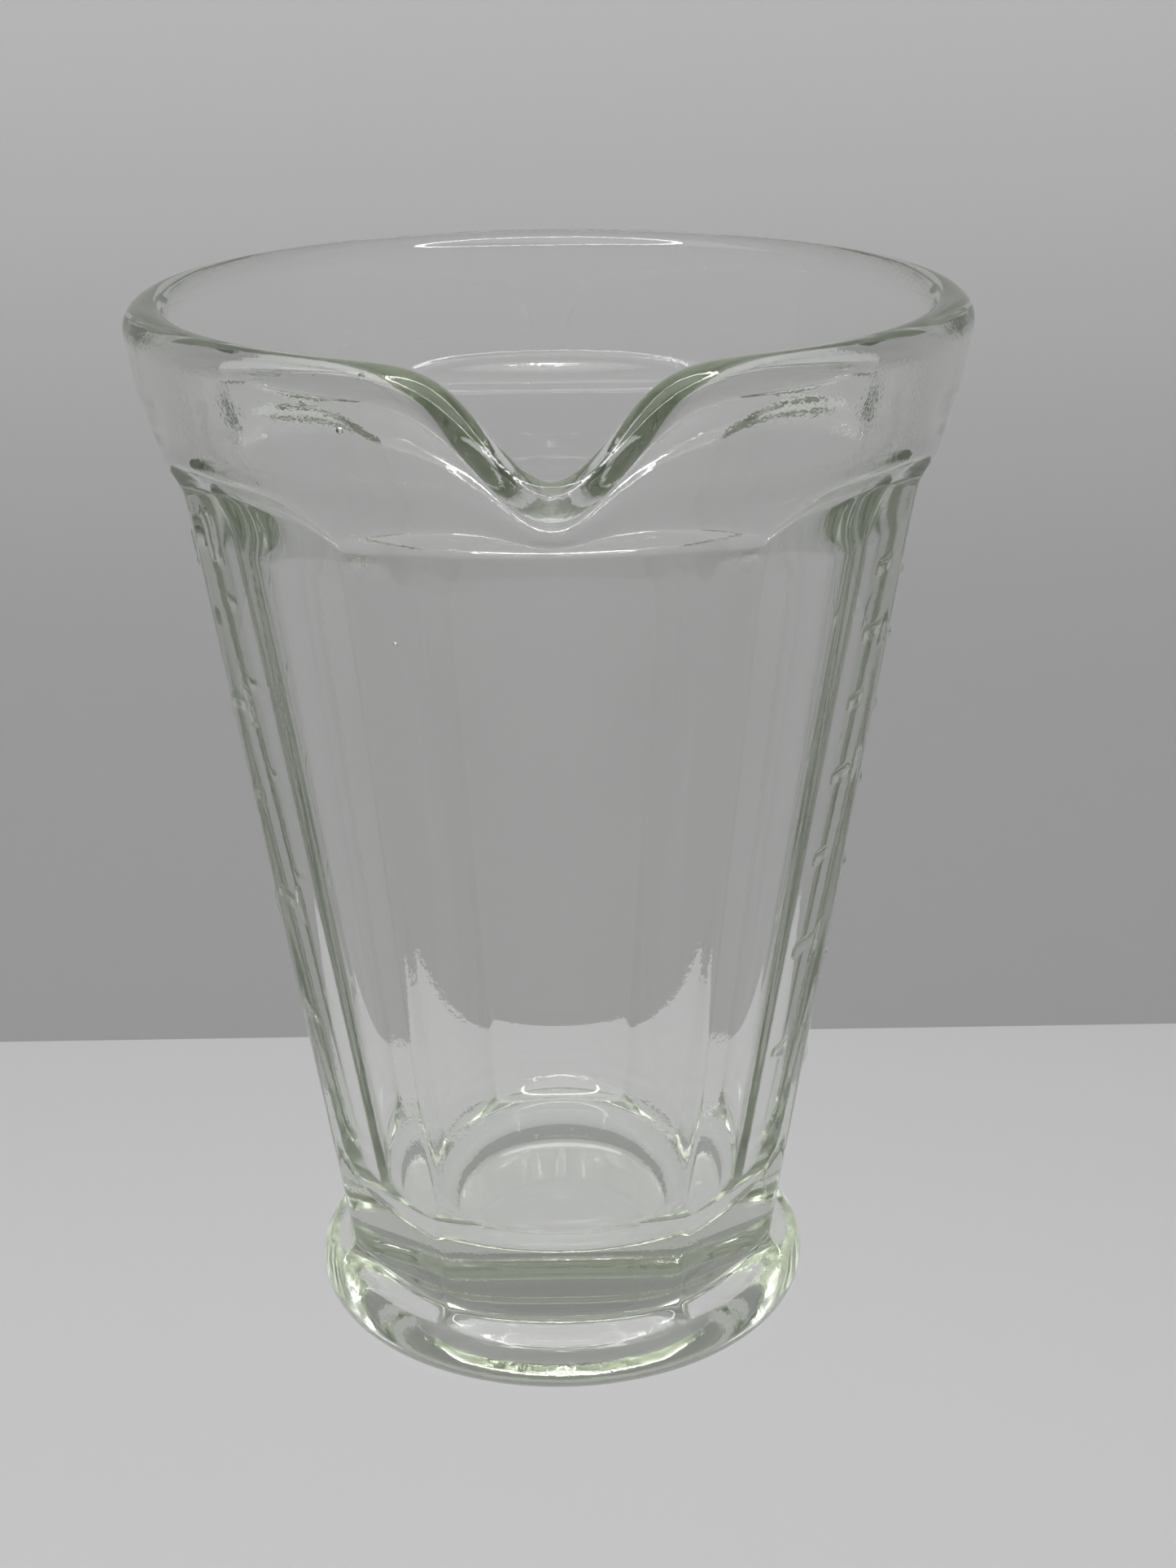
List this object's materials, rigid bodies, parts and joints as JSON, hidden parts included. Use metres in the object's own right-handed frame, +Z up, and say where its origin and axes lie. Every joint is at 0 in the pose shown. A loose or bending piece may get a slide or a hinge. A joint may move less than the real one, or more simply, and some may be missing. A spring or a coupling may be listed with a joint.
{
  "type": "measuring beaker",
  "caption": "Clear pressed-glass kitchen measuring beaker with a round foot, tapered panels, plain collar, pouring lip and raised measuring scales.",
  "frame": {"origin": "centre of the base on the plane it stands on", "axes": "+Z up along the beaker's axis, pouring lip towards -Y, ounce scale on the +X side"},
  "size_m": [0.0944, 0.0994, 0.125],
  "materials": {
    "clear_glass": "fire-polished pressed glass, clear with a faint grey-green cast"
  },
  "bodies": {
    "root": {"glass_body": "clear_glass", "ounce_bars": "clear_glass", "ounce_figures": "clear_glass", "tablespoon_bars": "clear_glass", "tablespoon_figures": "clear_glass"}
  },
  "joints": []
}
